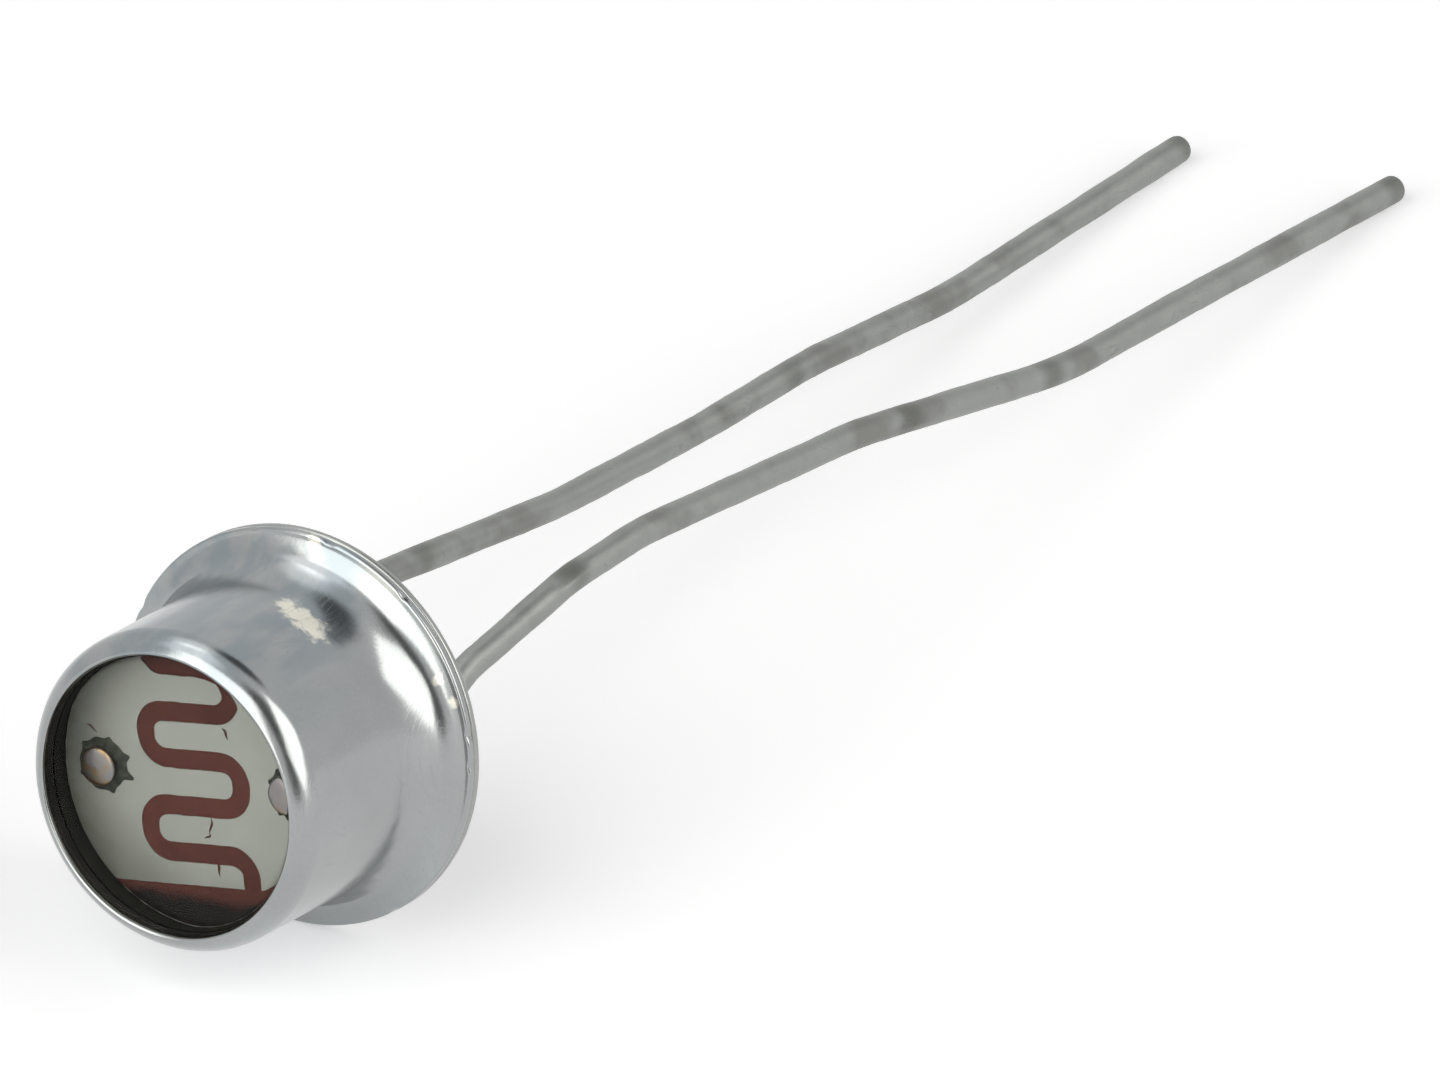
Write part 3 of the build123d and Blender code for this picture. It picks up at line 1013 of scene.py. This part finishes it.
def plating_stains_and_painted_light(place, surface, rough):
    """A painted blue-grey reflection on top, painted bright highlights and dark stains in the plating."""
    drawn_out = vector_of("MULTIPLY", place, (1.6, 1.6, 0.5))
    streak = noise_of(drawn_out, 1.0, 3.0)
    # Painted reflection: the top of the can is tinted blue-grey in streaks
    painted_reflection_and_oxide_cloud = product(between(along_axis(place, 1), 0.9, 2.1), between(streak, 0.4, 0.6))
    painted_reflection = tinted(product(painted_reflection_and_oxide_cloud, 0.6), surface, (0.22, 0.265, 0.295))
    broken = spread(noise_of(place, 7.0, 5.0), -1.1, 1.1)
    # Painted highlights: bright patches on the wall and the flange
    with_painted_highlights = tinted(near_any(place, painted_highlights, broken), painted_reflection, (0.78, 0.76, 0.66))
    return tinted(near_any(place, stains, broken), with_painted_highlights, (0.08, 0.085, 0.075)), rough


cap_wear = {"Smudge size": 1.3, "Grain size": 0.04, "Scratches": 0.5}
cap_plating = metal("cap_plating", (0.36, 0.375, 0.375), (0.12, 0.26), cap_wear, patches=plating_stains_and_painted_light)
cap_oxide, shader, place = new_material("cap_oxide", Roughness=0.9, Specular_IOR_Level=0.08)
painted_reflection_and_oxide_cloud = noise_of(place, 2.0, 4.0)
link_inputs(shader, Base_Color=tinted(painted_reflection_and_oxide_cloud, (0.016, 0.016, 0.013), (0.034, 0.033, 0.027)))
cap = laid_in_place("window_cap_dressed", cap_shape, cap_plating, cap_oxide)
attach(cap, "root")
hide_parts("window_cap")

# Window
# A disc of clear glass fused into the cap from inside, against the lip. It has crept a little up the lip
# and down the wall, and its side is black where it wets the oxide.
glass_top = 3.30
glass_bottom = 2.81
glass_creep = 0.035
glass_index = 1.5
glass_clear = (0.95, 0.96, 0.95, 1)
bare_share = 0.12
face_step = 0.2
glass_side = bore_radius - fused_gap
glass_corner = inner_shoulder - fused_gap
glass_rim = window_radius - fused_gap
glass_rise = sqrt(glass_corner ** 2 - (glass_rim - shoulder[0]) ** 2)
glass_turn = angle_from_shoulder((glass_rim, shoulder[1] + glass_rise))


def meniscus(reach, level, rise, width=0.16, steps=10):
    """Points from the flat of the glass out to the metal, where it creeps up by rise."""
    shares = [i / steps for i in range(steps + 1)]
    return [(reach - width * (1 - s), level + rise * s ** 3) for s in shares]


window_outline = (
    [(face_step * i, glass_top) for i in range(9)]
    + meniscus(glass_rim, glass_top, glass_creep)
    + arc(shoulder, glass_corner, glass_turn, 0, 12)
    + [(glass_side, 2.95), (glass_side, 2.85)]
    + meniscus(glass_side, glass_bottom, -glass_creep)[::-1]
    + [(face_step * i, glass_bottom) for i in range(9, -1, -1)]
)
window_shape = lathe(window_outline, closed=False)
bmesh.ops.dissolve_degenerate(window_shape, dist=1e-6, edges=window_shape.edges)
for face in window_shape.faces:
    middle = face.calc_center_median()
    on_side = hypot(middle.x, middle.y) > window_radius - 0.006
    face.material_index = 1 if on_side and glass_bottom < middle.z < lip_front[1] else 0

clear_glass, shader, place = new_material("clear_glass", Transmission_Weight=1.0, IOR=glass_index)
grease = noise_of(place, 1.1, 4.0)
tint = tinted(grease, (0.93, 0.95, 0.93), (0.97, 0.98, 0.97))
link_inputs(shader, Base_Color=tint, Roughness=spread(grease, 0.0, 0.02))
tree = shader.id_data
clear = node(tree, "ShaderNodeBsdfTransparent", {"Color": glass_clear})
inputs = {"Color": glass_clear, "Roughness": 0.0, "IOR": glass_index}
bent = node(tree, "ShaderNodeBsdfRefraction", inputs)
# Its faces are bloomed, so they reflect much less than bare glass
bloomed = node(tree, "ShaderNodeMixShader", {0: bare_share, 1: bent, 2: shader.outputs[0]})
# Lamps and mirrored rays pass straight through. A ray that came through glass counts as glossy too, and
# must still leave the glass bent.
paths = add(tree, "ShaderNodeLightPath").outputs
mirrored = math_of("SUBTRACT", paths["Is Glossy Ray"], paths["Is Transmission Ray"], clamp=True)
straight = larger(paths["Is Shadow Ray"], larger(paths["Is Diffuse Ray"], mirrored))
through = node(tree, "ShaderNodeMixShader", {0: straight, 1: bloomed, 2: clear})
tree.links.new(through, tree.nodes["Material Output"].inputs["Surface"])
window = laid_in_place("window_glass_dressed", window_shape, clear_glass, cap_oxide)
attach(window, "root")
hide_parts("window_glass")

# Studio
# A wide pale floor that keeps the soft shadow, one soft key light from the left front, and a narrower side
# light from the right, turned aslant. The surroundings look white, and are uneven only in reflections.
scene = bpy.context.scene
scene.view_settings.view_transform = "Standard"
floor_radius = 1.5
floor_glow = 0.4
floor_shape = bmesh.new()
bmesh.ops.create_circle(floor_shape, cap_ends=True, segments=96, radius=floor_radius)
colors = {"Base_Color": (0.86, 0.865, 0.9, 1), "Emission_Color": (1, 1, 1, 1)}
pale_floor, shader = new_material("pale_floor", Roughness=0.8, Specular_IOR_Level=0.1, **colors)[:2]
paths = add(shader.id_data, "ShaderNodeLightPath").outputs
seen = larger(paths["Is Camera Ray"], larger(paths["Is Glossy Ray"], paths["Is Transmission Ray"]))
link_inputs(shader, Emission_Strength=product(seen, floor_glow))
floor = laid_in_place("floor", floor_shape, pale_floor, place=Matrix.Identity(4))

# Four darker directions in front and at the right, and two bright ones overhead: each has its direction, its
# core and edge in degrees, and its strength against the even white.
places = [
    ((-0.55, -0.81, 0.20), 6, 20, 0.18),
    ((-0.41, -0.71, 0.57), 6, 20, 0.18),
    ((-0.23, -0.48, 0.85), 6, 20, 0.2),
    ((0.57, -0.04, 0.82), 9, 18, 0.14),
    ((0.27, 0.385, 0.88), 9, 17, 1.8),
    ((-0.13, 0.35, 0.93), 12, 22, 2.2),
]
mirrored_white, bounced_white = 0.9, 0.15
world = bpy.data.worlds.new("surroundings")
scene.world = world
world.use_nodes = True
tree = world.node_tree
background = tree.nodes["Background"]
background.inputs["Color"].default_value = (1, 1, 1, 1)
paths = add(tree, "ShaderNodeLightPath").outputs
way = add(tree, "ShaderNodeTexCoord").outputs["Generated"]
mirrored = mirrored_white
for toward, core, edge, strength in places:
    near = value_of("DOT_PRODUCT", way, Vector(toward).normalized())
    inside = between(near, cos(radians(edge)), cos(radians(core)))
    mirrored = product(mirrored, spread(inside, 1.0, strength))
looked_at = larger(paths["Is Camera Ray"], paths["Is Transmission Ray"])
direct = spread(looked_at, bounced_white, 1.0)
link_inputs(background, Strength=mixed(paths["Is Glossy Ray"], direct, mirrored))


light_distance = 0.4
light_color = (1.0, 0.985, 0.935)


def soft_light(name, direction, width, height, power, turn=0):
    """A rectangular soft light that points at the can from a direction, turned about that direction."""
    lamp = bpy.data.lights.new(name, "AREA")
    lamp.shape = "RECTANGLE"
    lamp.size, lamp.size_y = width, height
    lamp.energy = power
    lamp.color = light_color
    holder = linked(name, lamp)
    toward = Vector(direction).normalized()
    holder.location = seat + toward * light_distance
    turned = toward.to_track_quat("Z", "Y") @ Quaternion((0, 0, 1), radians(turn))
    holder.rotation_euler = turned.to_euler()


soft_light("key", (-0.824, 0.087, 0.559), 0.42, 0.48, 1.5)
soft_light("side", (0.10, -0.85, 0.52), 0.44, 0.27, 0.85, turn=35)

# Camera
# At the photograph's angle: it looks down at the window from the left front, from well away with a long
# lens. Its target is given from the flange's centre, so the can sits low at the left and the leads run up.
azimuth = radians(303.53)
elevation = radians(27.96)
view_distance = 0.5
view_half_width = 9.664 * mm
view_shift = Vector((4.0189, -3.994, 2.1554)) * mm
toward_camera = Vector((sin(azimuth) * cos(elevation), -cos(azimuth) * cos(elevation), sin(elevation)))
camera_data = bpy.data.cameras.new("camera")
camera_data.sensor_width = 36
camera_data.lens = camera_data.sensor_width / 2 * view_distance / view_half_width
camera_data.clip_start = 0.01
camera_data.clip_end = 10
camera = linked("camera", camera_data)
camera.location = seat + view_shift + toward_camera * view_distance
camera.rotation_euler = toward_camera.to_track_quat("Z", "Y").to_euler()
scene.camera = camera
